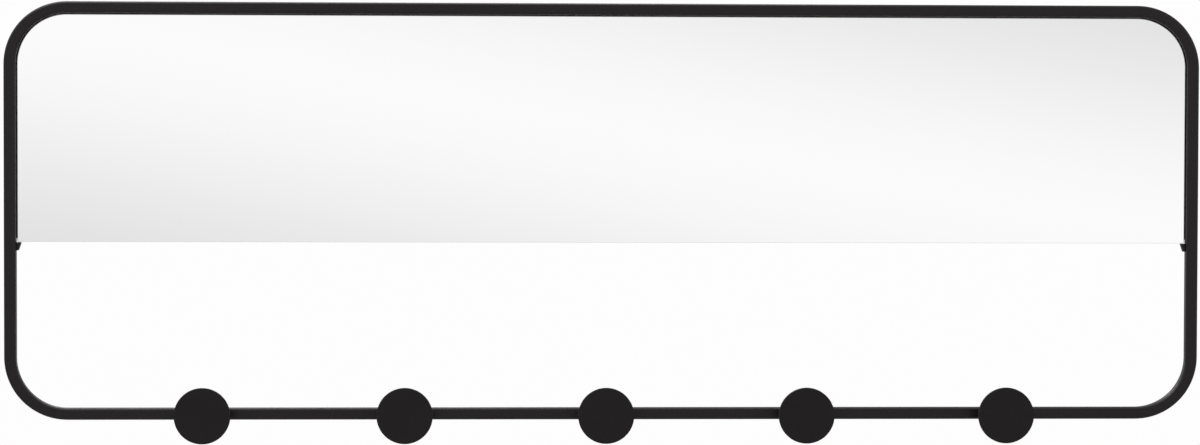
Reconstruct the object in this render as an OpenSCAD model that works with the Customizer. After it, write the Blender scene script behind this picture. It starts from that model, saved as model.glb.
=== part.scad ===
// Wide hall mirror in a bent square-tube frame, with five disc hooks on the bottom rail.
// X runs to the right, Z up the wall, and the wall is the plane Y = 0 with the mirror in front of it
// at negative Y. The origin lies midway between the entry holes of the two wall hangers.

/* [Frame] */
// Width over the tube frame
frame_w = 1020; // [900:10:1600]
// Height over the tube frame
frame_h = 355; // [330:1:600]
// Side of the square tube
tube = 10; // [9:0.5:14]
// Wall of the tube
tube_wall = 1; // [0.8:0.1:1.5]
// Radius on the outer edges of the tube
tube_edge_r = 2; // [0.8:0.1:2.5]
// Bend radius on the centreline of the tube
bend_r = 48; // [30:1:60]

/* [Mirror] */
// Clear height between the bottom rail and the lower edge of the glass
open_gap = 141; // [80:1:170]
// Thickness of the glass
glass_t = 3; // [2:0.5:5]
// Clearance between the glass and the inner faces of the tube
glass_gap = 0.6; // [0.4:0.1:2]
// Leg of the ground bevel on the edges of the glass
arris = 0.6; // [0.2:0.1:0.9]
// Thickness of the double-sided mounting tape
tape_t = 0.5; // [0.3:0.1:1]
// Width of one strip of tape
tape_w = 25; // [10:1:40]
// Number of tape strips
tape_count = 5; // [3:1:9]
// Distance of the tape's ends and outermost strips from the edges of the glass
tape_inset = 22; // [10:1:40]

/* [Corner lugs] */
// Width of a lug where it carries the glass
lug_w = 4.1; // [3:0.1:8]
// Width of a lug at its lower end
lug_foot_w = 1.7; // [1:0.1:2.5]
// Height of a lug
lug_h = 6.9; // [5:0.1:12]
// Depth of a lug from front to back
lug_depth = 5; // [4:0.5:7]
// Radius on the free corners of a lug
lug_corner_r = 0.7; // [0.3:0.1:0.8]
// Play between the glass and the lugs
lug_play = 0.3; // [0.1:0.1:0.5]

/* [Back panel] */
// Thickness of the hardboard panel
panel_t = 3; // [2:0.5:5]
// Distance of the panel's edge from the outer edge of the frame
panel_margin = 1.5; // [1:0.1:2]
// Distance of the panel's lower edge above the lower edge of the glass
panel_rise = 3; // [1:0.5:10]
// Distance of the end screws from the ends of the panel's straight sides
side_screw_inset = 12; // [8:1:25]

/* [Wall hangers] */
// Distance of a hanger's centre from the side of the frame
hanger_inset = 160; // [110:5:250]
// Drop from the top of the frame to the centre of the entry hole
hang_drop = 38; // [34:1:60]
// Width of a hanger plate
hanger_w = 46; // [38:1:60]
// Thickness of the hanger's sheet
hanger_t = 1.5; // [1:0.1:2]
// Free depth behind the hanger for the head of the wall screw
head_pocket = 3.5; // [3.2:0.1:6]
// Height of the flange that is screwed to the frame
flange_h = 10; // [9:0.5:12]
// Inner bend radius of the sheet
hanger_bend_r = 1.5; // [1:0.1:1.6]
// Angle of the step between the flange and the raised part
step_angle = 60; // [50:1:75]
// Diameter of the entry hole of the keyhole
entry_d = 10; // [9:0.1:12]
// Width of the keyhole's slot
slot_w = 5.5; // [4.5:0.1:6]
// Travel from the entry hole up to the end of the slot
slot_travel = 11; // [8:0.5:12]
// Sheet left below the entry hole
hanger_foot = 9; // [5:0.5:14]
// Radius on the corners of the plate
hanger_corner_r = 3; // [1:0.5:4]
// Distance between the two screws of one hanger
hanger_screw_pitch = 30; // [24:1:30]

/* [Hooks] */
// Number of hooks
hook_count = 5; // [5]
// Distance between neighbouring hooks
hook_pitch = 170.5; // [100:0.5:190]
// Diameter of a hook's disc
disc_d = 47.5; // [30:0.5:60]
// Thickness of a disc
disc_t = 3; // [2.5:0.5:6]
// Radius on the front edge of a disc
disc_edge_r = 0.6; // [0.4:0.1:1.2]
// Radius on the back edge of a disc
disc_back_r = 0.4; // [0.2:0.1:0.6]
// Diameter of a stem
stem_d = 8; // [7:0.5:12]
// Length of a stem between the rail and the disc
stem_len = 19; // [16:1:40]
// Diameter of the spigot that centres the disc
spigot_d = 5; // [3:0.1:6]
// Length of the spigot
spigot_len = 1.2; // [0.8:0.1:1.6]

/* [Fasteners] */
// Nominal diameter of the hook screws
hook_screw_d = 4; // [3:0.5:4.5]
// Thread engaged in a stem
hook_thread = 9; // [6:0.5:11]
// Outer diameter of the washers
washer_d = 9; // [8.5:0.1:10]
// Thickness of the washers
washer_t = 0.8; // [0.5:0.1:1.2]
// Diameter of the panel screws
panel_screw_d = 3; // [2.5:0.1:3.5]
// Diameter of the hanger screws
hanger_screw_d = 3.5; // [3:0.1:3.9]
// Reach of the panel and hanger screws into the hollow of the tube
screw_reach = 5; // [3:0.5:5.5]

/* [Wall bumpers] */
// Distance of a bumper from the side of the frame
bumper_inset = 75; // [70:1:80]
// Diameter of a bumper at its seat
bumper_d = 9; // [7:0.5:10]
// Diameter of a bumper at the wall
bumper_tip_d = 7.6; // [5:0.1:7.6]
// Radius on the wall end of a bumper
bumper_edge_r = 1.2; // [0.5:0.1:2]
// Diameter of the neck that sits in the tube
bumper_neck_d = 4.6; // [3.5:0.1:5]
// Reach of the barb past the neck
bumper_barb = 0.5; // [0.3:0.1:0.7]
// Length of the barb
bumper_barb_len = 1.6; // [1:0.1:3]

/* [Hidden] */
$fn = 96;

// Fits
drill_play = 0.3;
thread_play = 0.05;
spigot_play = 0.1;
seat_play = 0.1;
cut_over = 1;
// Least radius inside the edges of the tube
least_r = 0.3;
// Height of a drill's point over its radius
drill_point = 0.6;
// Chamfer at the mouth of a tapped hole
mouth_chamfer = 0.5;

// Depths, measured out from the wall
panel_back = hanger_t + head_pocket;
tube_back = panel_back + panel_t;
tube_mid = tube_back + tube / 2;
tube_front = tube_back + tube;
glass_back = tube_back + tape_t;
disc_back = tube_front + stem_len;

// Heights, measured from the entry holes of the hangers
frame_top = hang_drop;
frame_bottom = frame_top - frame_h;
top_rail = frame_top - tube / 2;
bottom_rail = frame_bottom + tube / 2;
glass_bottom = frame_bottom + tube + open_gap;
panel_bottom = glass_bottom + panel_rise;

// Centres of the four bends, and the straight rails between them
bend_x = frame_w / 2 - tube / 2 - bend_r;
bend_top = top_rail - bend_r;
bend_bottom = bottom_rail + bend_r;
rail_x = frame_w / 2 - tube / 2;

// Outlines of the glass and of the panel, concentric with the bends of the tube
glass_r = bend_r - tube / 2 - glass_gap;
panel_r = bend_r + tube / 2 - panel_margin;
glass_top = bend_top + glass_r;
tape_pitch = 2 * (bend_x + glass_r - tape_inset - tape_w / 2) / (tape_count - 1);
// Drop of the glass's round corner at the outermost strip, which all strips stay below
corner_drop = glass_r - sqrt(pow(glass_r, 2) - pow(max(glass_r - tape_inset, 0), 2));
tape_top = glass_top - max(tape_inset, corner_drop);

// Step of the hanger's sheet, from the flange out to the wall
bend_facets = 8;
sheet_mid_r = hanger_bend_r + hanger_t / 2;
step_len = (head_pocket - 2 * sheet_mid_r * (1 - cos(step_angle))) / sin(step_angle);
step_rise = 2 * sheet_mid_r * sin(step_angle) + step_len * cos(step_angle);
flange_top = bend_top + panel_r;
land_top = flange_top - flange_h - step_rise;
land_len = land_top + entry_d / 2 + hanger_foot;

// Places of the panel's screws along the top rail and the side rails, clear of the hangers
hanger_x = frame_w / 2 - hanger_inset;
top_screw_x = [0, hanger_x / 2, (hanger_x + hanger_w / 2 + bend_x) / 2];
side_screw_y = [panel_bottom + side_screw_inset, bend_top - side_screw_inset];
top_screws = [for (x = top_screw_x, s = [-1, 1]) if (x > 0 || s > 0) [s * x, top_rail]];
side_screws = [for (y = side_screw_y, s = [-1, 1]) [s * rail_x, y]];
hanger_screw_places = [
    for (s = [-1, 1], t = [-1, 1]) [s * hanger_x + t * hanger_screw_pitch / 2, top_rail]
];
hook_x = [for (i = [0:hook_count - 1]) (i - (hook_count - 1) / 2) * hook_pitch];
bumper_x = frame_w / 2 - bumper_inset;

// Heads and tips of the screws, in proportion to the thread
head_width = 1.9;
head_height = 0.62;
recess_width = 0.24;
recess_reach = 1.1;
recess_depth = 0.6;
tip_length = 0.33;
tip_width = 0.5;

// Drawn as seen from the front, with depth measured out from the wall
module on_wall() {
    rotate([90, 0, 0]) children();
}

module rounded_square(side, r) {
    square([side, side - 2 * r], center = true);
    square([side - 2 * r, side], center = true);
    for (x = [-1, 1], y = [-1, 1])
        translate([x, y] * (side / 2 - r)) circle(r);
}

module tube_section() {
    difference() {
        rounded_square(tube, tube_edge_r);
        rounded_square(tube - 2 * tube_wall, max(tube_edge_r - tube_wall, least_r));
    }
}

// One bend of the frame and the straight rail that follows it
module bend(corner) {
    centres = [[bend_x, bend_top], [-bend_x, bend_top], [-bend_x, bend_bottom], [bend_x, bend_bottom]];
    translate(centres[corner])
        rotate(90 * corner) rotate_extrude(angle = 90) translate([bend_r, 0]) tube_section();
}

module rail_along_x(y) {
    translate([0, y]) rotate([0, 90, 0]) linear_extrude(2 * bend_x, center = true) tube_section();
}

module rail_along_y(x) {
    translate([x, bend_top]) rotate([90, 0, 0]) linear_extrude(bend_top - bend_bottom) tube_section();
}

// Holes drilled through the rear wall of the tube only, or right through it
module rear_drill(place, d) {
    translate([place.x, place.y, tube_back - cut_over]) cylinder(d = d, h = tube_wall + 2 * cut_over);
}

module through_drill(place, d) {
    translate([place.x, place.y, tube_back - cut_over]) cylinder(d = d, h = tube + 2 * cut_over);
}

module frame_tube() {
    color("#242323") on_wall() difference() {
        translate([0, 0, tube_mid]) {
            for (corner = [0:3]) bend(corner);
            for (y = [top_rail, bottom_rail]) rail_along_x(y);
            for (x = [-rail_x, rail_x]) rail_along_y(x);
        }
        for (p = concat(top_screws, side_screws)) rear_drill(p, panel_screw_d + 2 * thread_play);
        for (p = hanger_screw_places) rear_drill(p, hanger_screw_d + 2 * thread_play);
        for (x = [-bumper_x, bumper_x]) rear_drill([x, bottom_rail], bumper_neck_d + 2 * seat_play);
        for (x = hook_x) through_drill([x, bottom_rail], hook_screw_d + drill_play);
    }
}

// Welded under one lower corner of the glass: side is -1 at the left rail and 1 at the right.
// Its free corners are round, and the side at the rail is cut straight.
module corner_lug(side) {
    root = 2 * lug_corner_r;
    color("#242323") on_wall()
        translate([side * (rail_x - tube / 2), glass_bottom - lug_play, glass_back])
            linear_extrude(lug_depth) difference() {
                offset(r = lug_corner_r, $fn = 32) offset(delta = -lug_corner_r)
                    polygon([
                        [side * root, 0], [-side * lug_w, 0],
                        [-side * lug_foot_w, -lug_h], [side * root, -lug_h]
                    ]);
                translate([(side - 1) * root / 2, -lug_h - cut_over])
                    square([root, lug_h + 2 * cut_over]);
            }
}

// A plate with two round top corners and two square lower ones
module plate_outline(r, bottom) {
    translate([-bend_x - r, bottom]) square([2 * (bend_x + r), bend_top - bottom]);
    translate([-bend_x, bottom]) square([2 * bend_x, bend_top + r - bottom]);
    for (s = [-1, 1]) translate([s * bend_x, bend_top]) circle(r);
}

// Square bars, turned by 45 degrees, that grind the bevels of one face of the glass
module arris_cut() {
    bar = arris * sqrt(2);
    side_len = bend_top - glass_bottom + cut_over;
    translate([0, glass_bottom]) rotate([45, 0, 0])
        cube([2 * (bend_x + glass_r) + 2 * cut_over, bar, bar], center = true);
    translate([0, glass_top]) rotate([45, 0, 0]) cube([2 * bend_x, bar, bar], center = true);
    for (s = [-1, 1]) {
        translate([s * (bend_x + glass_r), bend_top - side_len / 2]) rotate([0, 45, 0])
            cube([bar, side_len, bar], center = true);
        translate([s * bend_x, bend_top]) rotate(s > 0 ? 0 : 90)
            rotate_extrude(angle = 90) translate([glass_r, 0]) rotate(45) square(bar, center = true);
    }
}

module mirror_pane() {
    color("#e8ecea") on_wall() translate([0, 0, glass_back]) difference() {
        linear_extrude(glass_t) plate_outline(glass_r, glass_bottom);
        arris_cut();
        translate([0, 0, glass_t]) arris_cut();
    }
}

module mirror_tape() {
    color("#d9d6cf") on_wall()
        for (i = [0:tape_count - 1])
            translate([(i - (tape_count - 1) / 2) * tape_pitch - tape_w / 2, panel_bottom + tape_inset, tube_back])
                cube([tape_w, tape_top - panel_bottom - tape_inset, tape_t]);
}

module back_panel() {
    color("#7a5a3c") on_wall() difference() {
        translate([0, 0, panel_back]) linear_extrude(panel_t) plate_outline(panel_r, panel_bottom);
        for (p = concat(top_screws, side_screws))
            translate([p.x, p.y, panel_back - cut_over])
                cylinder(d = panel_screw_d + drill_play, h = panel_t + 2 * cut_over);
        for (p = hanger_screw_places)
            translate([p.x, p.y, panel_back - cut_over])
                cylinder(d = hanger_screw_d + drill_play, h = panel_t + 2 * cut_over);
    }
}

// A pan-head screw with a cross recess: head down at the origin, shank up along the depth
module pan_screw(d, len) {
    head_d = d * head_width;
    head_h = d * head_height;
    edge = head_h / 2;
    rotate_extrude() {
        translate([0, -head_h]) square([head_d / 2 - edge, head_h]);
        translate([0, -head_h + edge]) square([head_d / 2, head_h - edge]);
        translate([head_d / 2 - edge, -head_h + edge]) circle(edge);
        polygon([[0, 0], [d / 2, 0], [d / 2, len - d * tip_length], [d * tip_width / 2, len], [0, len]]);
    }
}

module recessed_screw(d, len) {
    difference() {
        pan_screw(d, len);
        for (turn = [0, 90])
            rotate(turn) translate([0, 0, -d * head_height])
                cube([d * recess_reach, d * recess_width, 2 * d * head_height * recess_depth], center = true);
    }
}

module panel_screws() {
    color("#b9bcc0") on_wall()
        for (p = concat(top_screws, side_screws))
            translate([p.x, p.y, panel_back])
                recessed_screw(panel_screw_d, panel_t + tube_wall + screw_reach);
}

function arc(centre, r, from, to) = [
    for (i = [0:bend_facets])
        let (a = from + (to - from) * i / bend_facets)
            centre + r * [cos(a), sin(a)]
];

// Edge view of the hanger's sheet as depth against height: flange, step and land. It runs past the
// plate's outline at both ends, which cuts it to size.
module sheet_profile() {
    inner_r = hanger_bend_r;
    outer_r = hanger_bend_r + hanger_t;
    upper = [panel_back - hanger_t - inner_r, flange_top - flange_h];
    lower = [hanger_t + inner_r, land_top];
    top = flange_top + cut_over;
    foot = land_top - land_len - cut_over;
    polygon(concat(
        [[panel_back - hanger_t, top]],
        arc(upper, inner_r, 0, -step_angle),
        arc(lower, outer_r, 180 - step_angle, 180),
        [[0, foot], [hanger_t, foot]],
        arc(lower, inner_r, 180, 180 - step_angle),
        arc(upper, outer_r, -step_angle, 0),
        [[panel_back, top]]
    ));
}

// The keyhole: the head of the wall screw goes in at the round hole and rides up the slot
module keyhole() {
    cylinder(d = entry_d, h = hanger_t + 2 * cut_over);
    translate([-slot_w / 2, 0, 0]) cube([slot_w, slot_travel, hanger_t + 2 * cut_over]);
    translate([0, slot_travel, 0]) cylinder(d = slot_w, h = hanger_t + 2 * cut_over);
}

module plate_corners() {
    low = land_top - land_len;
    wide = hanger_w / 2 - hanger_corner_r;
    translate([-hanger_w / 2, low + hanger_corner_r])
        square([hanger_w, flange_top - low - 2 * hanger_corner_r]);
    translate([-wide, low]) square([2 * wide, flange_top - low]);
    for (x = [-wide, wide], y = [low + hanger_corner_r, flange_top - hanger_corner_r])
        translate([x, y]) circle(hanger_corner_r);
}

// Stepped sheet with its flange against the panel and its land against the wall
module hanger_plate(side) {
    color("#b4b7bb") on_wall() translate([side * hanger_x, 0, 0]) difference() {
        intersection() {
            rotate([0, -90, 0]) linear_extrude(hanger_w + 2 * cut_over, center = true) sheet_profile();
            translate([0, 0, -cut_over]) linear_extrude(panel_back + 2 * cut_over) plate_corners();
        }
        translate([0, 0, -cut_over]) keyhole();
        for (t = [-1, 1])
            translate([t * hanger_screw_pitch / 2, top_rail, -cut_over])
                cylinder(d = hanger_screw_d + drill_play, h = panel_back + 2 * cut_over);
    }
}

module hanger_screws() {
    color("#b9bcc0") on_wall()
        for (p = hanger_screw_places)
            translate([p.x, p.y, panel_back - hanger_t])
                recessed_screw(hanger_screw_d, hanger_t + panel_t + tube_wall + screw_reach);
}

module hook_disc(i) {
    color("#242323") on_wall() translate([hook_x[i], bottom_rail, disc_back]) difference() {
        rotate_extrude() {
            square([disc_d / 2 - disc_edge_r, disc_t]);
            translate([0, disc_back_r]) square([disc_d / 2, disc_t - disc_back_r - disc_edge_r]);
            translate([disc_d / 2 - disc_edge_r, disc_t - disc_edge_r]) circle(disc_edge_r);
            translate([disc_d / 2 - disc_back_r, disc_back_r]) circle(disc_back_r);
            square([disc_d / 2 - disc_back_r, disc_t - disc_edge_r]);
        }
        translate([0, 0, -cut_over])
            cylinder(d = spigot_d + spigot_play, h = spigot_len + spigot_play + cut_over);
    }
}

// Turned stem: threaded hole at the rail, spigot at the disc
module hook_stem(i) {
    thread_depth = hook_thread + hook_screw_d / 2;
    thread_r = hook_screw_d / 2 + thread_play;
    color("#242323") on_wall() translate([hook_x[i], bottom_rail, tube_front]) rotate_extrude()
        polygon([
            [thread_r + mouth_chamfer, 0], [stem_d / 2, 0],
            [stem_d / 2, stem_len], [spigot_d / 2, stem_len], [spigot_d / 2, stem_len + spigot_len],
            [0, stem_len + spigot_len], [0, thread_depth + thread_r * drill_point],
            [thread_r, thread_depth], [thread_r, mouth_chamfer]
        ]);
}

module hook_screws() {
    color("#b9bcc0") on_wall()
        for (x = hook_x)
            translate([x, bottom_rail, tube_back - washer_t])
                recessed_screw(hook_screw_d, washer_t + tube + hook_thread);
}

module hook_washers() {
    color("#c4c6c9") on_wall()
        for (x = hook_x)
            translate([x, bottom_rail, tube_back - washer_t]) difference() {
                cylinder(d = washer_d, h = washer_t);
                translate([0, 0, -cut_over])
                    cylinder(d = hook_screw_d + drill_play, h = washer_t + 2 * cut_over);
            }
}

// Rubber bumper, pushed into the rear wall of the bottom rail and reaching to the wall
module wall_bumper(side) {
    neck_r = bumper_neck_d / 2;
    tip_r = bumper_tip_d / 2;
    neck_top = tube_back + tube_wall + seat_play;
    color("#1b1b1b") on_wall() translate([side * bumper_x, bottom_rail, 0]) rotate_extrude() {
        square([tip_r - bumper_edge_r, tube_back]);
        translate([tip_r - bumper_edge_r, bumper_edge_r]) circle(bumper_edge_r);
        polygon([
            [0, bumper_edge_r], [tip_r, bumper_edge_r], [bumper_d / 2, tube_back], [neck_r, tube_back],
            [neck_r, neck_top], [neck_r + bumper_barb, neck_top],
            [neck_r - bumper_barb, neck_top + bumper_barb_len], [0, neck_top + bumper_barb_len]
        ]);
    }
}

frame_tube();
corner_lug(-1);  // corner_lug_left
corner_lug(1);  // corner_lug_right
mirror_pane();
mirror_tape();
back_panel();
panel_screws();
hanger_plate(-1);  // hanger_plate_left
hanger_plate(1);  // hanger_plate_right
hanger_screws();
hook_disc(0);  // hook_disc_1
hook_disc(1);  // hook_disc_2
hook_disc(2);  // hook_disc_3
hook_disc(3);  // hook_disc_4
hook_disc(4);  // hook_disc_5
hook_stem(0);  // hook_stem_1
hook_stem(1);  // hook_stem_2
hook_stem(2);  // hook_stem_3
hook_stem(3);  // hook_stem_4
hook_stem(4);  // hook_stem_5
hook_screws();
hook_washers();
wall_bumper(-1);  // wall_bumper_left
wall_bumper(1);  // wall_bumper_right
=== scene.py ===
import math

import bmesh
import bpy
import numpy as np
from mathutils import Matrix, Vector


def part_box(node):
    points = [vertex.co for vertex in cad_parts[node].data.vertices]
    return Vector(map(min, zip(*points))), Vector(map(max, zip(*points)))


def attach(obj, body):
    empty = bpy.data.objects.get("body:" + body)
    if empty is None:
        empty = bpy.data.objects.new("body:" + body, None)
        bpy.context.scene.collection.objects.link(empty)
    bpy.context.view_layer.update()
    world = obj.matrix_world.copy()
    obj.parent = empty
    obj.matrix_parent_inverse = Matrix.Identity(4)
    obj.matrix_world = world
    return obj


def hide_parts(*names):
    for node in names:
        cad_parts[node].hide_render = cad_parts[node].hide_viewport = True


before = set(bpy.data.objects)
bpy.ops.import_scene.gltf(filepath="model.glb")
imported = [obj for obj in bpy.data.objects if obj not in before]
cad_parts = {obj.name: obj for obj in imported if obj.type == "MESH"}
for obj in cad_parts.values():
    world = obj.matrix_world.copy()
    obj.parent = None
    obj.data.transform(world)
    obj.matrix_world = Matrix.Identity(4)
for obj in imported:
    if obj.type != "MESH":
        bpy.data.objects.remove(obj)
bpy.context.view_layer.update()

print("frame loaded:", len(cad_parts), "nodes")

millimetre = 0.001
weldDistance = 0.001 * millimetre
supportGap = 0.12 * millimetre  # between an arc and the point that keeps the flat beside it flat
sharpAngle = math.radians(32)  # a crease sharper than this stays sharp
fullTurn = 2 * math.pi
sides = ("left", "right")
hookNumbers = range(1, 6)


class Wire:
    # An output socket. Arithmetic on it adds Math nodes and gives the new output.
    def __init__(self, finish, socket):
        self.finish = finish
        self.socket = socket

    def math(self, operation, *others):
        values = dict(enumerate((self,) + others))
        return self.finish.add("ShaderNodeMath", {"operation": operation}, values)

    def __add__(self, other):
        return self.math("ADD", other)

    __radd__ = __add__

    def __mul__(self, other):
        return self.math("MULTIPLY", other)

    __rmul__ = __mul__

    def __sub__(self, other):
        return self.math("SUBTRACT", other)

    def __rsub__(self, other):
        return self.finish.add("ShaderNodeMath", {"operation": "SUBTRACT"}, {0: other, 1: self})

    def __truediv__(self, other):
        return self.math("DIVIDE", other)

    def __rtruediv__(self, other):
        return self.finish.add("ShaderNodeMath", {"operation": "DIVIDE"}, {0: other, 1: self})


class Finish:
    # A material, or the world, with one method that adds any node
    def __init__(self, owner):
        owner.use_nodes = True
        self.owner = owner
        self.tree = owner.node_tree
        self.tree.nodes.clear()

    def add(self, kind, settings=None, inputs=None, output=0):
        # A node with its settings, and with values or wires for its inputs. Gives one of its outputs.
        node = self.tree.nodes.new(kind)
        for key, value in (settings or {}).items():
            setattr(node, key, value)
        for key, value in (inputs or {}).items():
            if isinstance(value, Wire):
                self.tree.links.new(value.socket, node.inputs[key])
            else:
                node.inputs[key].default_value = value
        return Wire(self, node.outputs[output])

    def place(self, stretch=(1, 1, 1), turn=(0, 0, 0)):
        # Object coordinates in metres, stretched and then turned
        spot = self.add("ShaderNodeTexCoord", output="Object")
        return self.add("ShaderNodeMapping", {}, {"Vector": spot, "Rotation": turn, "Scale": stretch})

    def noise(self, scale, octaves, rough, spot=None):
        # Cloudy noise from 0 to 1. A look gives one as its scale, octaves and roughness.
        inputs = {"Vector": spot or self.place(), "Scale": scale, "Detail": octaves, "Roughness": rough}
        return self.add("ShaderNodeTexNoise", {}, inputs)

    def cells(self, scale, output):
        # Distance to the nearest of many scattered points, or a random colour for each of them
        inputs = {"Vector": self.place(), "Scale": scale}
        return self.add("ShaderNodeTexVoronoi", {"feature": "F1"}, inputs, output)

    def span(self, value, low, high, toLow=0.0, toHigh=1.0):
        # Carries a value from one range to another along a smooth step. A look gives a range's two ends.
        settings = {"interpolation_type": "SMOOTHSTEP"}
        inputs = {"Value": value, 1: low, 2: high, 3: toLow, 4: toHigh}
        return self.add("ShaderNodeMapRange", settings, inputs)

    def tint(self, share, first, second):
        # The first colour plus the share of the way to the second
        settings = {"data_type": "RGBA"}
        inputs = {0: share, 6: asColour(first), 7: asColour(second)}
        return self.add("ShaderNodeMix", settings, inputs, output=2)

    def bump(self, height, depth):
        # A relief whose highest points stand the depth above its lowest, in metres
        return self.add("ShaderNodeBump", {}, {"Height": height, "Distance": depth, "Strength": 1.0})

    def close(self, shader, kind="ShaderNodeOutputMaterial"):
        # Joins a shader to the output, and gives the material or the world back
        self.tree.links.new(shader.socket, self.tree.nodes.new(kind).inputs["Surface"])
        return self.owner

    def principled(self, inputs):
        return self.close(self.add("ShaderNodeBsdfPrincipled", {}, inputs))


def asColour(value):
    # A plain colour gets its fourth number, a wire stays as it is
    return value if isinstance(value, Wire) else (*value, 1.0)


def newFinish(name):
    return Finish(bpy.data.materials.new(name))


def rounded(corners, radii, steps, closed=True):
    # Turns each corner of a polygon into an arc: its centre lies on the bisector at radius over the
    # sine of half the corner's angle. A support point lies at each end, so that flats shade flat.
    # A corner with no radius stays as it is, and so do the two ends of an open line.
    corners = np.asarray(corners, float)
    out = []
    for i, (point, radius) in enumerate(zip(corners, radii)):
        ends = not closed and i in (0, len(corners) - 1)
        if ends or radius == 0:
            out.append(point[None])
            continue
        back = corners[i - 1] - point
        ahead = corners[(i + 1) % len(corners)] - point
        back, ahead = back / np.linalg.norm(back), ahead / np.linalg.norm(ahead)
        half = math.acos(np.clip(back @ ahead, -1, 1)) / 2
        reach = radius / math.tan(half)
        bisector = (back + ahead) / np.linalg.norm(back + ahead)
        centre = point + bisector * radius / math.sin(half)
        start, end = point + back * reach - centre, point + ahead * reach - centre
        first = math.atan2(start[1], start[0])
        sweep = (math.atan2(end[1], end[0]) - first + math.pi) % fullTurn - math.pi
        angles = first + sweep * np.linspace(0, 1, steps + 1)
        arc = centre + radius * np.stack([np.cos(angles), np.sin(angles)], 1)
        reach += supportGap
        out += [(point + back * reach)[None], arc, (point + ahead * reach)[None]]
    return np.concatenate(out)


def ringPath(halfWidth, top, bottom, radii, arcSteps, sideSteps):
    # A closed path round a rectangle with round corners, seen from the front. On a corner it is the
    # centre plus the radius times the outward direction, and a side joins one corner to the next, in
    # steps that are short at its ends. Gives the points, their outward directions, and how far each
    # lies into a bend: the root of the sine of its angle, taken from 0 to 180 degrees over the bend.
    signs = [(1, 1), (-1, 1), (-1, -1), (1, -1)]
    centres = [np.array([sx * (halfWidth - radius), (top if sz > 0 else bottom) - sz * radius])
               for (sx, sz), radius in zip(signs, radii)]
    share = np.linspace(0, 1, arcSteps + 1)
    side = np.sin(np.linspace(0, 1, sideSteps + 2)[1:-1] * math.pi / 2) ** 2
    points, outward, bent = [], [], []
    for k, radius in enumerate(radii):
        angles = (k + share) * math.pi / 2
        direction = np.stack([np.cos(angles), np.sin(angles)], 1)
        points.append(centres[k] + radius * direction)
        outward.append(direction)
        bent.append(np.sqrt(np.sin(share * math.pi)))
        following = (k + 1) % 4
        start, end = points[-1][-1], centres[following] + radii[following] * direction[-1]
        points.append(start + side[:, None] * (end - start))
        outward.append(np.repeat(direction[-1:], sideSteps, 0))
        bent.append(np.zeros(sideSteps))
    return np.concatenate(points), np.concatenate(outward), np.concatenate(bent)


def carried(path, profile, squeeze=0.0):
    # A profile of offset and depth carried round a ring path: each point is the path's point plus the
    # offset along the outward direction, at its depth out from the wall. In a bend the outer wall is
    # drawn in by the squeeze, as the bender leaves it, most of all in the middle of its depth.
    points, outward, bent = path
    offset = np.repeat(profile[None, :, 0], len(points), 0)
    middle = profile[:, 1].mean()
    crown = np.clip(1 - ((profile[:, 1] - middle) / np.ptp(profile[:, 1]) * 2) ** 2, 0, 1)
    outer = np.clip(profile[:, 0] / profile[:, 0].max(), 0, 1) if squeeze else crown * 0
    offset = offset - squeeze * bent[:, None] * (crown * outer)[None]
    flat = points[:, None] + outward[:, None] * offset[..., None]
    depth = np.repeat(profile[None, :, 1], len(points), 0)
    return np.stack([flat[..., 0], -depth, flat[..., 1]], -1)


def turned(profile, x, z, steps, sunk=None):
    # A profile of radius and depth turned about an axis at right angles to the wall: the radius times
    # the cosine and the sine of the angle, added to the axis. The function sunk adds to the depth,
    # from the two distances from the axis and the depth itself.
    angles = np.linspace(0, fullTurn, steps, endpoint=False)[:, None]
    across, up = profile[None, :, 0] * np.cos(angles), profile[None, :, 0] * np.sin(angles)
    depth = np.repeat(profile[None, :, 1], steps, 0)
    if sunk:
        depth = depth + sunk(across, up, depth)
    return np.stack([x + across, -depth, z + up], -1)


def gridFaces(rows, points, wrapRows, wrapPoints, start):
    # Quads between each row and the next, and each point and the next
    i = np.arange(rows if wrapRows else rows - 1)[:, None]
    j = np.arange(points if wrapPoints else points - 1)[None]
    iNext, jNext = (i + 1) % rows, (j + 1) % points
    quads = np.stack(np.broadcast_arrays(i * points + j, iNext * points + j,
                                         iNext * points + jNext, i * points + jNext), -1)
    return (quads.reshape(-1, 4) + start).tolist()


def piece(name, grids, finishes, node, wrap=(True, False), caps=(), rub=None):
    # One closed surface or several, as grids of points, made one object that rides on the root body
    # and stands for a node. A cap closes the first or last point of every row, and takes the finish
    # of its own number. Rub is a value for each point of every grid.
    vertices, faces, paints, start = [], [], [], 0
    for grid in grids:
        rows, points = grid.shape[:2]
        quads = gridFaces(rows, points, *wrap, start)
        faces += quads
        paints += [0] * len(quads)
        for cap, paint in caps:
            faces.append([start + i * points + cap % points for i in range(rows)])
            paints.append(paint)
        vertices.append(grid.reshape(-1, 3))
        start += rows * points
    mesh = bpy.data.meshes.new(name)
    mesh.from_pydata(np.concatenate(vertices).tolist(), [], faces)
    mesh.polygons.foreach_set("material_index", np.array(paints, np.int32))
    if rub is not None:
        values = np.concatenate(rub).ravel()
        mesh.attributes.new("rub", "FLOAT", "POINT").data.foreach_set("value", values)
    work = bmesh.new()
    work.from_mesh(mesh)
    bmesh.ops.remove_doubles(work, verts=work.verts, dist=weldDistance)
    bmesh.ops.recalc_face_normals(work, faces=work.faces)
    work.to_mesh(mesh)
    work.free()
    mesh.shade_smooth()
    mesh.set_sharp_from_angle(angle=sharpAngle)
    for finish in finishes:
        mesh.materials.append(finish)
    obj = bpy.data.objects.new(name, mesh)
    bpy.context.scene.collection.objects.link(obj)
    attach(obj, "root")
    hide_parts(node)


def middleOf(node):
    # X and Z of the middle of a node's box
    low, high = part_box(node)
    return (low.x + high.x) / 2, (low.z + high.z) / 2


def dress(node, finish):
    # Gives a carried-over node its finish
    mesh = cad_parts[node].data
    mesh.materials.clear()
    mesh.materials.append(finish)


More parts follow.
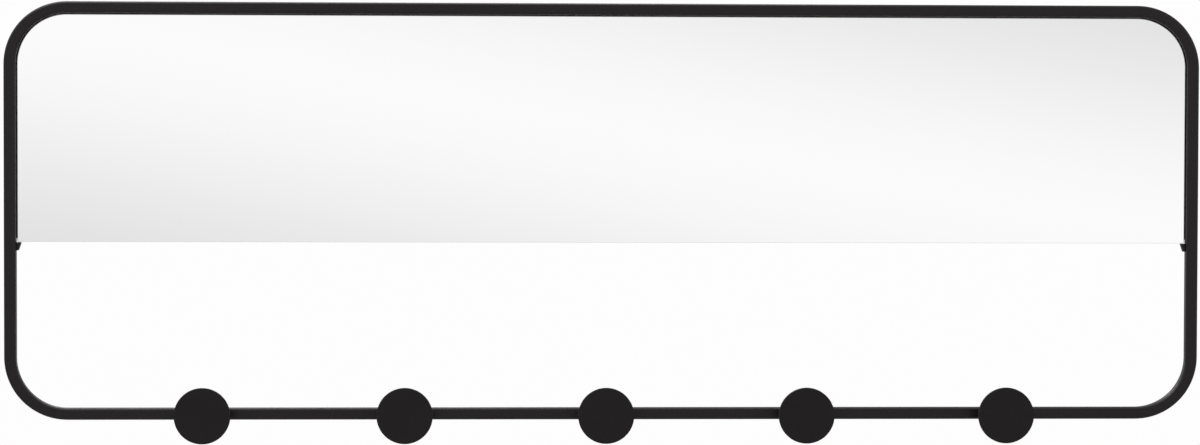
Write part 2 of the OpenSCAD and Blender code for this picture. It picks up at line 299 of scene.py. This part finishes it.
def powderCoat(name, look):
    # Matt stoved powder: a fine grain over a soft orange peel, with a cloudy tone, rubbed a little
    # smoother and paler where the attribute says that an edge is handled
    f = newFinish(name)
    cloud = f.noise(*look["cloud"])
    peel = f.noise(*look["peel"])
    grain = f.noise(*look["grain"])
    rub = f.add("ShaderNodeAttribute", {"attribute_name": "rub"}, output="Fac")
    rubbed = rub * f.span(f.noise(*look["wear"]), *look["worn"])
    tone = f.tint(cloud, look["dark"], look["pale"])
    flecks = f.span(grain, *look["flecks"]) * look["fleckShare"]
    colour = f.tint(flecks, tone, look["fleck"])
    colour = f.tint(rubbed * look["rubShare"], colour, look["rubbed"])
    roughness = look["rough"] + (grain - 0.5) * look["roughVary"] - rubbed * look["rubShine"]
    height = peel * look["peelShare"] + grain * (1 - look["peelShare"])
    return f.principled({
        "Base Color": colour,
        "Roughness": roughness,
        "Specular IOR Level": look["gloss"],
        "Normal": f.bump(height, look["relief"]),
    })


def mirrorFace(name, look):
    # Silvered float glass seen from the front: all reflection, the faint tone of the glass, and a
    # breath of haze where it was wiped
    f = newFinish(name)
    haze = f.noise(*look["haze"], f.place(*look["wiped"]))
    return f.principled({
        "Base Color": f.tint(f.noise(*look["tone"]), look["silver"], look["green"]),
        "Metallic": 1.0,
        "Roughness": f.span(haze, *look["hazy"], *look["rough"]),
    })


def groundGlass(name, look):
    # Edge of the glass, ground and seamed by hand: pale green, satin, with the fine scratches of the belt.
    # Its near-white tone is partly the ground glass's own colour and partly painted light, made paler to
    # stand in for the light a ground edge passes through from around it and for the dim light it gets from
    # below.
    f = newFinish(name)
    scratch = f.noise(*look["scratch"], f.place(look["along"]))
    return f.principled({
        "Base Color": f.tint(f.noise(*look["frost"]), look["pale"], look["green"]),
        "Roughness": f.span(scratch, *look["scratched"], *look["rough"]),
        "Coat Weight": look["coat"],
        "Coat Roughness": look["coatRough"],
        "Normal": f.bump(scratch, look["relief"]),
    })


def backPaint(name, look):
    # Protective paint on the back of the silver, rolled on
    f = newFinish(name)
    roll = f.noise(*look["roll"], f.place(look["along"]))
    return f.principled({
        "Base Color": f.tint(roll, look["dark"], look["pale"]),
        "Roughness": f.span(roll, *look["rolled"], *look["rough"]),
        "Normal": f.bump(roll, look["relief"]),
    })


def hardboard(name, look):
    # Pressed wood fibre: long fibres that lie at several angles over each other, the highest on top,
    # dark specks of bark, and a broad mottle
    f = newFinish(name)
    fibre = None
    for turn in look["turns"]:
        spot = f.place(turn=(0, turn, 0))
        along = f.add("ShaderNodeMapping", {}, {"Vector": spot, "Scale": (look["long"], 1, 1)})
        laid = f.noise(*look["fibre"], along)
        fibre = fibre.math("MAXIMUM", laid) if fibre else laid
    bark = f.span(f.noise(*look["bark"]), *look["barked"]) * look["barkShare"]
    mottle = f.span(f.noise(*look["mottle"]), *look["mottled"]) * look["mottleShare"]
    base = f.tint(f.span(fibre, *look["laid"]), look["dark"], look["pale"])
    base = f.tint(mottle, base, look["warm"])
    return f.principled({
        "Base Color": f.tint(bark, base, look["speck"]),
        "Roughness": f.span(fibre, *look["raised"], *look["rough"]),
        "Specular IOR Level": look["gloss"],
        "Normal": f.bump(fibre, look["relief"]),
    })


def zinc(name, look):
    # Zinc-plated steel: cloudy crystals of slightly different tone, with the lines of rolling or turning
    f = newFinish(name)
    crystal = f.add("ShaderNodeSeparateColor", {}, {"Color": f.cells(look["crystal"], "Color")})
    lines = f.noise(*look["lines"], f.place(look["along"]))
    share = crystal * look["crystalShare"] + f.noise(*look["cloud"]) * (1 - look["crystalShare"])
    roughness = look["rough"] + (crystal - 0.5) * look["crystalVary"] + (lines - 0.5) * look["roughVary"]
    return f.principled({
        "Base Color": f.tint(share, look["dark"], look["pale"]),
        "Metallic": 1.0,
        "Roughness": roughness,
        "Normal": f.bump(lines, look["relief"]),
    })


def rubber(name, look):
    # Moulded rubber: matt, with a fine bloom
    f = newFinish(name)
    bloom = f.noise(*look["bloom"])
    return f.principled({
        "Base Color": f.tint(f.span(bloom, *look["bloomed"]), look["dark"], look["pale"]),
        "Roughness": f.span(bloom, *look["dulled"], *look["rough"]),
        "Specular IOR Level": look["gloss"],
        "Normal": f.bump(f.noise(*look["grain"]), look["relief"]),
    })


def foamTape(name, look):
    # Foam tape: small open cells in an off-white foam
    f = newFinish(name)
    cells = f.cells(look["cells"], "Distance")
    return f.principled({
        "Base Color": f.tint(f.span(cells, *look["hollow"]), look["pale"], look["dark"]),
        "Roughness": look["rough"],
        "Normal": f.bump(cells, look["relief"]),
    })


frameCoat = powderCoat("frame_powder_coat", {
    "dark": (0.0044, 0.0024, 0.0031), "pale": (0.0072, 0.0049, 0.0058), "cloud": (9.0, 3.0, 0.5),
    "fleck": (0.031, 0.028, 0.029), "flecks": (0.56, 0.74), "fleckShare": 0.5,
    "rubbed": (0.026, 0.025, 0.025), "rubShare": 0.5, "rubShine": 0.1,
    "wear": (60.0, 4.0, 0.65), "worn": (0.42, 0.68),
    "peel": (520.0, 2.0, 0.5), "grain": (1700.0, 3.0, 0.6), "peelShare": 0.45, "relief": 0.00007,
    "rough": 0.36, "roughVary": 0.2, "gloss": 0.26,
})
hookCoat = powderCoat("hook_powder_coat", {
    "dark": (0.0054, 0.0040, 0.0043), "pale": (0.0086, 0.0070, 0.0074), "cloud": (35.0, 3.0, 0.5),
    "fleck": (0.029, 0.027, 0.0274), "flecks": (0.56, 0.74), "fleckShare": 0.5,
    "rubbed": (0.026, 0.025, 0.025), "rubShare": 0.6, "rubShine": 0.12,
    "wear": (150.0, 4.0, 0.65), "worn": (0.42, 0.68),
    "peel": (560.0, 2.0, 0.5), "grain": (1800.0, 3.0, 0.6), "peelShare": 0.45, "relief": 0.00007,
    "rough": 0.6, "roughVary": 0.2, "gloss": 0.17,
})
mirrorSilver = mirrorFace("mirror_silver", {
    "silver": (0.961, 0.962, 0.961), "green": (0.953, 0.956, 0.954), "tone": (3.0, 2.0, 0.5),
    "haze": (5.0, 4.0, 0.6), "wiped": ((1, 1, 2.2), (0, 0.5, 0)),
    "hazy": (0.35, 0.8), "rough": (0.0, 0.025),
})
# Painted light: the near-white edge colours are raised above the ground glass's own tone to stand in for
# light passing through the edge and for its dim light from below
glassEdge = groundGlass("ground_glass_edge_painted_light", {
    "pale": (0.96, 0.98, 0.97), "green": (0.90, 0.95, 0.925), "frost": (260.0, 2.0, 0.5),
    "scratch": (900.0, 3.0, 0.7), "along": (0.15, 3, 0.15), "scratched": (0.3, 0.7),
    "rough": (0.25, 0.45), "coat": 0.4, "coatRough": 0.12, "relief": 0.00002,
})
silverPaint = backPaint("mirror_back_paint", {
    "dark": (0.17, 0.19, 0.185), "pale": (0.25, 0.27, 0.262),
    "roll": (90.0, 3.0, 0.6), "along": (1, 1, 4), "rolled": (0.2, 0.8),
    "rough": (0.48, 0.62), "relief": 0.00003,
})
panelBoard = hardboard("pressed_hardboard", {
    "dark": (0.135, 0.080, 0.042), "pale": (0.215, 0.133, 0.074),
    "fibre": (620.0, 4.0, 0.7), "long": 0.13, "turns": (0.2, 0.95, 1.7, 2.6),
    "laid": (0.48, 0.74), "raised": (0.3, 0.8), "rough": (0.62, 0.8), "gloss": 0.35, "relief": 0.00004,
    "warm": (0.190, 0.105, 0.052), "mottle": (5.0, 4.0, 0.6), "mottled": (0.35, 0.7), "mottleShare": 0.35,
    "speck": (0.085, 0.050, 0.028), "bark": (380.0, 2.0, 0.4), "barked": (0.68, 0.76), "barkShare": 0.7,
})
zincSheet = zinc("zinc_sheet", {
    "dark": (0.50, 0.515, 0.54), "pale": (0.72, 0.73, 0.745),
    "crystal": 260.0, "crystalShare": 0.5, "crystalVary": 0.1, "cloud": (60.0, 3.0, 0.5),
    "lines": (700.0, 3.0, 0.6), "along": (0.06, 1, 1), "relief": 0.00001,
    "rough": 0.36, "roughVary": 0.12,
})
zincScrew = zinc("zinc_screw", {
    "dark": (0.58, 0.60, 0.62), "pale": (0.78, 0.79, 0.80),
    "crystal": 900.0, "crystalShare": 0.5, "crystalVary": 0.1, "cloud": (220.0, 3.0, 0.5),
    "lines": (1400.0, 3.0, 0.6), "along": (1, 0.2, 1), "relief": 0.00001,
    "rough": 0.27, "roughVary": 0.10,
})
bumperRubber = rubber("bumper_rubber", {
    "dark": (0.016, 0.016, 0.017), "pale": (0.034, 0.034, 0.035),
    "bloom": (300.0, 4.0, 0.6), "bloomed": (0.35, 0.75), "dulled": (0.2, 0.8), "rough": (0.62, 0.82),
    "gloss": 0.3, "grain": (2200.0, 2.0, 0.5), "relief": 0.00004,
})
tapeFoam = foamTape("tape_foam", {
    "pale": (0.72, 0.70, 0.66), "dark": (0.50, 0.48, 0.44),
    "cells": 2600.0, "hollow": (0.1, 0.6), "rough": 0.85, "relief": 0.00012,
})
print("finishes made")

# Square tube of the frame, in metres: its side, and the radius of its bends on the centreline
tubeSize = {"side": 0.010, "bend": 0.048}
tubeHalf = tubeSize["side"] / 2


def makeTube():
    # The tube's section, a square with round edges, carried round the frame. Rub rises from 0 on the
    # flats to its most at the middle of a round edge, by the sum of the distances from the centre.
    size = {"edge": 0.002, "squeeze": 0.00025, "edgeSteps": 7, "bendSteps": 48, "sideSteps": 16}
    rubbed = {"from": 1.72, "rise": 0.11}  # in halves of the tube's side
    low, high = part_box("frame_tube")
    path = ringPath(high.x - tubeHalf, high.z - tubeHalf, low.z + tubeHalf,
                    [tubeSize["bend"]] * 4, size["bendSteps"], size["sideSteps"])
    middle = -(low.y + high.y) / 2
    back, front = middle - tubeHalf, middle + tubeHalf
    square = [(tubeHalf, back), (tubeHalf, front), (-tubeHalf, front), (-tubeHalf, back)]
    profile = rounded(square, [size["edge"]] * 4, size["edgeSteps"])
    reach = np.abs(profile - [0, middle]).sum(1)
    rub = np.clip((reach - tubeHalf * rubbed["from"]) / (tubeHalf * rubbed["rise"]), 0, 1)
    grid = carried(path, profile, size["squeeze"])
    piece("tube_ring", [grid], [frameCoat], "frame_tube", (True, True),
          rub=[np.repeat(rub[None], len(grid), 0)])


makeTube()
for side in sides:
    dress("corner_lug_" + side, frameCoat)
print("frame made")


def makePlate(name, node, size, finishes, caps):
    # A flat plate with two large upper corners and two small lower ones: a bevelled edge carried round
    # its outline, closed by a flat face on each side. The bevel of its edges goes over into that of
    # the lower edge by how far the edge faces down.
    low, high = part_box(node)
    radii = [size["corner"], size["corner"], size["lowCorner"], size["lowCorner"]]
    path = ringPath(high.x, high.z, low.z, radii, size["cornerSteps"], size["sideSteps"])
    back, front = -high.y, -low.y

    def bevelled(bevel):
        profile = np.array([(-bevel, back), (0, back + bevel), (0, front - bevel), (-bevel, front)])
        return carried(path, profile)

    down = np.clip(-path[1][:, 1], 0, 1)[:, None, None]
    grid = bevelled(size["bevel"]) * (1 - down) + bevelled(size["lowBevel"]) * down
    piece(name, [grid], finishes, node, caps=caps)


# The glass lies inside the bends of the tube with a little play, and the panel laps over them
plateFit = {"glassPlay": 0.0006, "panelMargin": 0.0015}
makePlate("mirror_glass", "mirror_pane",
          {"corner": tubeSize["bend"] - tubeHalf - plateFit["glassPlay"], "lowCorner": 0.0012,
           "bevel": 0.0006, "lowBevel": 0.0003, "cornerSteps": 40, "sideSteps": 10},
          [glassEdge, mirrorSilver, silverPaint], ((-1, 1), (0, 2)))
makePlate("hardboard_back", "back_panel",
          {"corner": tubeSize["bend"] + tubeHalf - plateFit["panelMargin"], "lowCorner": 0.001,
           "bevel": 0.0003, "lowBevel": 0.0003, "cornerSteps": 40, "sideSteps": 10},
          [panelBoard], ((-1, 0), (0, 0)))
dress("mirror_tape", tapeFoam)
for side in sides:
    dress("hanger_plate_" + side, zincSheet)
print("glass and panel made")


def makeHook(number):
    # The disc and its stem, both turned about the hook's axis. Rub rises over the disc's round edge.
    size = {"faceEdge": 0.0006, "backEdge": 0.0004, "edgeSteps": 8, "discSteps": 128, "rubRise": 1.6,
            "stemEdge": 0.0003, "stemEdgeSteps": 4, "stemSteps": 64, "footHollow": 0.0002}
    disc, stem = "hook_disc_%d" % number, "hook_stem_%d" % number
    x, z = middleOf(disc)
    low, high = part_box(disc)
    radius, back, front = (high.x - low.x) / 2, -high.y, -low.y
    outline = [(0, back), (radius, back), (radius, front), (0, front)]
    profile = rounded(outline, [0, size["backEdge"], size["faceEdge"], 0], size["edgeSteps"], False)
    rub = np.clip((profile[:, 0] - radius + size["faceEdge"]) / size["faceEdge"] * size["rubRise"], 0, 1)
    grid = turned(profile, x, z, size["discSteps"])
    piece("disc_%d" % number, [grid], [hookCoat], disc,
          rub=[np.repeat(rub[None], len(grid), 0)])
    low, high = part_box(stem)
    radius, foot = (high.x - low.x) / 2, -high.y
    outline = [(0, foot + size["footHollow"]), (radius, foot), (radius, back), (0, back)]
    profile = rounded(outline, [0, size["stemEdge"], size["stemEdge"], 0], size["stemEdgeSteps"], False)
    piece("stem_%d" % number, [turned(profile, x, z, size["stemSteps"])], [hookCoat], stem)


for number in hookNumbers:
    makeHook(number)
print("hooks made")

# Pan-head screws with a cross recess, in shares of the thread's diameter
screwShape = {
    "head": 0.95, "tall": 0.62,  # radius and height of the head
    "slot": 0.12, "arm": 0.55, "sunk": 0.37,  # half width, reach and depth of the recess's bars
    "slotEdge": 0.05, "armEdge": 0.07,  # over which a bar's sides and ends go down
    "core": 0.42, "ridge": 0.08, "tip": 1 / 3,  # radius under the thread, thread's height, tip's length
}
# Shares of one of these: of the head's height, its round edge and how deep its face is taken to be for
# the recess, then how much shallower a bar is at its ends, and how wide the shank's end is
screwShares = {"crown": 0.5, "face": 0.1, "rise": 0.35, "point": 0.5}
# Steps round the axis, over the face, over the head's round edge, and along one turn of the thread
screwSteps = {"round": 80, "face": 22, "crown": 6, "pitch": 6}


def screwHead(x, z, seat, d):
    # The head, turned. The recess is as deep as the deeper of two crossing bars, each the product of a
    # step across it and one along it, and shallower towards its ends.
    shape = {key: share * d for key, share in screwShape.items()}
    head, tall = shape["head"], shape["tall"]
    outline = [(0, seat - tall), (head, seat - tall), (head, seat), (shape["core"], seat)]
    profile = rounded(outline, [0, tall * screwShares["crown"], 0, 0], screwSteps["crown"], False)
    inner = np.linspace(0, profile[1, 0], screwSteps["face"], endpoint=False)
    face = np.stack([inner, np.full(len(inner), profile[0, 1])], 1)
    cutFace = tall * screwShares["face"]

    def bar(a, b):
        wide = np.clip((shape["slot"] - np.abs(a)) / shape["slotEdge"] + 0.5, 0, 1)
        long = np.clip((shape["arm"] - np.abs(b)) / shape["armEdge"] + 0.5, 0, 1)
        return wide * long * (1 - screwShares["rise"] * np.clip(np.abs(b) / shape["arm"], 0, 1))

    def recess(across, up, depth):
        onFace = np.clip((seat - tall + cutFace - depth) / cutFace, 0, 1)
        return onFace * shape["sunk"] * np.maximum(bar(across, up), bar(up, across))

    return turned(np.concatenate([face, profile[1:]]), x, z, screwSteps["round"], recess)


def screwShank(x, z, seat, d, reach, pitch):
    # The shank with its thread, and a point that closes it. The radius is a zigzag of depth and angle
    # together, so that it winds. It fades out at both ends, and the tip narrows.
    depth = np.linspace(seat, seat + reach, int(reach / pitch * screwSteps["pitch"]) + 1)
    angles = np.linspace(0, fullTurn, screwSteps["round"], endpoint=False)[:, None]
    zigzag = np.abs((depth[None] / pitch - angles / fullTurn) % 1 * 2 - 1)
    fromEnd = np.clip((seat + reach - depth) / (screwShape["tip"] * d), 0, 1)
    fade = np.clip((depth - seat) / pitch, 0, 1) * fromEnd
    narrow = screwShares["point"] + (1 - screwShares["point"]) * fromEnd
    radius = d * (screwShape["core"] + screwShape["ridge"] * zigzag * fade) * narrow
    deep = -np.repeat(depth[None], len(angles), 0)
    shank = np.stack([x + radius * np.cos(angles), deep, z + radius * np.sin(angles)], -1)
    tip = np.repeat(np.array([[[x, -(seat + reach), z]]]), len(angles), 0)
    return np.concatenate([shank, tip], 1)


def makeScrewSet(name, node, places, size):
    # A set of equal screws. Their heads begin where the node's box is nearest the wall.
    seat = -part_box(node)[1].y + size["d"] * screwShape["tall"]
    grids = [np.concatenate([screwHead(x, z, seat, size["d"]), screwShank(x, z, seat, **size)], 1)
             for x, z in places]
    piece(name, grids, [zincScrew], node)


# Diameter of the thread, length under the head, and pitch
panelScrew = {"d": 0.003, "reach": 0.009, "pitch": 0.0012}
hangerScrew = {"d": 0.0035, "reach": 0.0105, "pitch": 0.0013}
hookScrew = {"d": 0.004, "reach": 0.0198, "pitch": 0.0007}


def screwSpots():
    # The panel's screws sit along the top rail, one in the middle and then half-way to the hangers and
    # half-way from these to the bends, and near the ends of the side rails. Two hold each hanger.
    size = {"inset": 0.012, "halfPair": 0.015}
    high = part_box("frame_tube")[1]
    topRail, sideRail = high.z - tubeHalf, high.x - tubeHalf
    hangerX, hangerEnd = middleOf("hanger_plate_right")[0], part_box("hanger_plate_right")[1].x
    outerX = (hangerEnd + sideRail - tubeSize["bend"]) / 2
    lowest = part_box("panel_screws")[0].z + panelScrew["d"] * screwShape["head"]
    highest = topRail - tubeSize["bend"] - size["inset"]
    panel = [(x, topRail) for x in (-outerX, -hangerX / 2, 0, hangerX / 2, outerX)]
    panel += [(s * sideRail, z) for s in (-1, 1) for z in (lowest, highest)]
    hanger = [(s * hangerX + t * size["halfPair"], topRail) for s in (-1, 1) for t in (-1, 1)]
    return panel, hanger


panelSpots, hangerSpots = screwSpots()
hookSpots = [middleOf("hook_disc_%d" % number) for number in hookNumbers]
makeScrewSet("panel_screw_set", "panel_screws", panelSpots, panelScrew)
makeScrewSet("hanger_screw_set", "hanger_screws", hangerSpots, hangerScrew)
makeScrewSet("hook_screw_set", "hook_screws", hookSpots, hookScrew)


def makeWashers():
    # Flat washers: a ring profile turned about each hook's axis
    size = {"outer": 0.0045, "hole": 0.00215, "edge": 0.00015, "edgeSteps": 4, "steps": 72}
    low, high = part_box("hook_washers")
    back, front = -high.y, -low.y
    square = [(size["hole"], back), (size["outer"], back), (size["outer"], front), (size["hole"], front)]
    profile = rounded(square, [size["edge"]] * 4, size["edgeSteps"])
    grids = [turned(profile, x, z, size["steps"]) for x, z in hookSpots]
    piece("washer_set", grids, [zincScrew], "hook_washers", (True, True))


def makeBumper(side):
    # Push-in bumper, turned: a tapered foot that touches the wall, and a barbed neck in the tube
    size = {"foot": 0.0038, "shoulder": 0.0045, "neck": 0.0023, "neckLong": 0.0011,
            "barb": 0.0028, "barbEnd": 0.0018, "edgeSteps": 6, "steps": 64}
    edges = {"foot": 0.0012, "shoulder": 0.0002, "barb": 0.0001, "barbEnd": 0.0003}
    node = "wall_bumper_" + side
    x, z = middleOf(node)
    end = -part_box(node)[0].y
    seat = -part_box("frame_tube")[1].y
    barbStart = seat + size["neckLong"]
    outline = [(0, 0), (size["foot"], 0), (size["shoulder"], seat), (size["neck"], seat),
               (size["neck"], barbStart), (size["barb"], barbStart), (size["barbEnd"], end), (0, end)]
    radii = [0, edges["foot"], edges["shoulder"], 0, 0, edges["barb"], edges["barbEnd"], 0]
    profile = rounded(outline, radii, size["edgeSteps"], False)
    piece("bumper_" + side, [turned(profile, x, z, size["steps"])], [bumperRubber], node)


makeWashers()
for side in sides:
    makeBumper(side)
print("fasteners made")


def makeFloor():
    # A round pale floor under the mirror, with points at equal steps of radius and angle. It fades into
    # the white round it with the distance from the mirror.
    look = {"height": -0.85, "radius": 3.6, "rings": 24, "spokes": 96, "fade": (0.0, 0.96),
            "dark": (0.86, 0.86, 0.86), "pale": (0.8858, 0.8858, 0.8858), "mottle": (1.4, 2.0, 0.5)}
    radii = np.linspace(0, look["radius"], look["rings"])
    angles = np.linspace(0, fullTurn, look["spokes"], endpoint=False)[:, None]
    across, along = radii * np.cos(angles), radii * np.sin(angles)
    grid = np.stack([across, along, np.full(across.shape, look["height"])], -1)
    mesh = bpy.data.meshes.new("floor")
    mesh.from_pydata(grid.reshape(-1, 3).tolist(), [], gridFaces(*across.shape, True, False, 0))
    floor = bpy.data.objects.new("floor", mesh)
    bpy.context.scene.collection.objects.link(floor)
    f = newFinish("pale_floor")
    spot = f.add("ShaderNodeTexCoord", output="Object")
    distance = f.add("ShaderNodeVectorMath", {"operation": "LENGTH"}, {0: spot}, output="Value")
    plain = f.tint(f.noise(*look["mottle"]), look["dark"], look["pale"])
    cloth = f.add("ShaderNodeBsdfDiffuse", {}, {"Color": plain})
    clear = f.add("ShaderNodeBsdfTransparent")
    faded = f.span(distance, *(share * look["radius"] for share in look["fade"]))
    mesh.materials.append(f.close(f.add("ShaderNodeMixShader", {}, {0: faded, 1: cloth, 2: clear})))


def makeCamera():
    # Where the photograph was taken from: turned a little to the right and down, level but for a hair.
    # The view's directions are those of a turn about Z, then a tilt, then a roll about the view itself.
    view = {"place": (-0.1066, -2.5540, -0.0839), "right": 0.0401, "up": -0.0255, "roll": -0.0026,
            "lens": 89.31, "sensor": 36, "nearest": 0.05, "farthest": 60}
    cosTurn, sinTurn = math.cos(view["right"]), math.sin(view["right"])
    cosTilt, sinTilt = math.cos(view["up"]), math.sin(view["up"])
    cosRoll, sinRoll = math.cos(view["roll"]), math.sin(view["roll"])
    level = Vector((cosTurn, -sinTurn, 0))
    ahead = Vector((sinTurn * cosTilt, cosTurn * cosTilt, sinTilt))
    upright = Vector((-sinTurn * sinTilt, -cosTurn * sinTilt, cosTilt))
    right = level * cosRoll - upright * sinRoll
    up = level * sinRoll + upright * cosRoll
    turn = Matrix((right, up, -ahead)).transposed().to_4x4()
    data = bpy.data.cameras.new("camera")
    data.lens, data.sensor_width = view["lens"], view["sensor"]
    data.clip_start, data.clip_end = view["nearest"], view["farthest"]
    camera = bpy.data.objects.new("camera", data)
    camera.matrix_world = Matrix.Translation(view["place"]) @ turn
    bpy.context.scene.collection.objects.link(camera)
    bpy.context.scene.camera = camera


lamps = {
    "key": {"place": (-1.6, -2.4, 2.3), "target": (0, 0, -0.1), "size": (1.4, 1.0), "power": 55},
    "fill": {"place": (2.4, -2.2, 0.9), "target": (0, 0, -0.1), "size": (1.6, 1.6), "power": 13},
    "overhead": {"place": (-0.25, 0, 0.35), "target": (-0.25, -0.02, 0), "size": (1.0, 0.1), "power": 3.5},
    "rear": {"place": (-0.8, 2.3, 1.3), "target": (0, 0, -0.1), "size": (1.6, 1.2), "power": 24},
}


def makeLamp(name, look):
    # A rectangular lamp that faces its target
    data = bpy.data.lights.new(name, "AREA")
    data.shape, data.energy = "RECTANGLE", look["power"]
    data.size, data.size_y = look["size"]
    lamp = bpy.data.objects.new(name, data)
    lamp.location = look["place"]
    aim = Vector(look["target"]) - Vector(look["place"])
    lamp.rotation_euler = aim.to_track_quat("-Z", "Y").to_euler()
    bpy.context.scene.collection.objects.link(lamp)


def makeWorld():
    # White for the camera. What the mirror and the metal see is a studio: a long soft band of light at
    # eye level, tilted a little, whose level falls off on both sides as one over one plus the square
    # of the distance, and a soft ceiling light. The rest of the light is even, and dim from behind.
    look = {"white": 0.985, "even": 0.48, "low": 0.55,
            "rise": 26.5, "tilt": 4.93, "shift": -0.369, "spread": 2.05,
            "ceiling": 1.2, "ceilingFrom": (0.35, 0.95), "ceilingLean": 0.35,
            "behind": 0.35, "behindFrom": (-0.2, 0.5)}
    world = bpy.data.worlds.new("studio")
    bpy.context.scene.world = world
    f = Finish(world)
    way = f.add("ShaderNodeTexCoord", output="Generated")
    x, y, z = (f.add("ShaderNodeSeparateXYZ", {}, {0: way}, output=axis) for axis in range(3))
    gap = (z * look["rise"] + x * look["tilt"] + look["shift"]) / look["spread"]
    band = 1 / (1 + gap * gap)
    ceiling = f.span(z - x * look["ceilingLean"], *look["ceilingFrom"]) * look["ceiling"]
    front = 1 - f.span(y, *look["behindFrom"]) * look["behind"]
    studio = (look["low"] + (1 - look["low"]) * band + ceiling) * front
    plain = front * look["even"]
    seen = f.add("ShaderNodeLightPath", output="Is Camera Ray")
    glossy = f.add("ShaderNodeLightPath", output="Is Glossy Ray")
    through = f.add("ShaderNodeLightPath", output="Is Transmission Ray")
    direct = seen.math("MAXIMUM", through)
    level = (plain + glossy * (studio - plain)) * (1 - direct) + direct * look["white"]
    light = f.add("ShaderNodeBackground", {}, {"Color": (1, 1, 1, 1), "Strength": level})
    f.close(light, "ShaderNodeOutputWorld")


makeFloor()
makeCamera()
makeWorld()
for name, look in lamps.items():
    makeLamp(name, look)
bpy.context.scene.view_settings.view_transform = "Standard"
print("stage set")
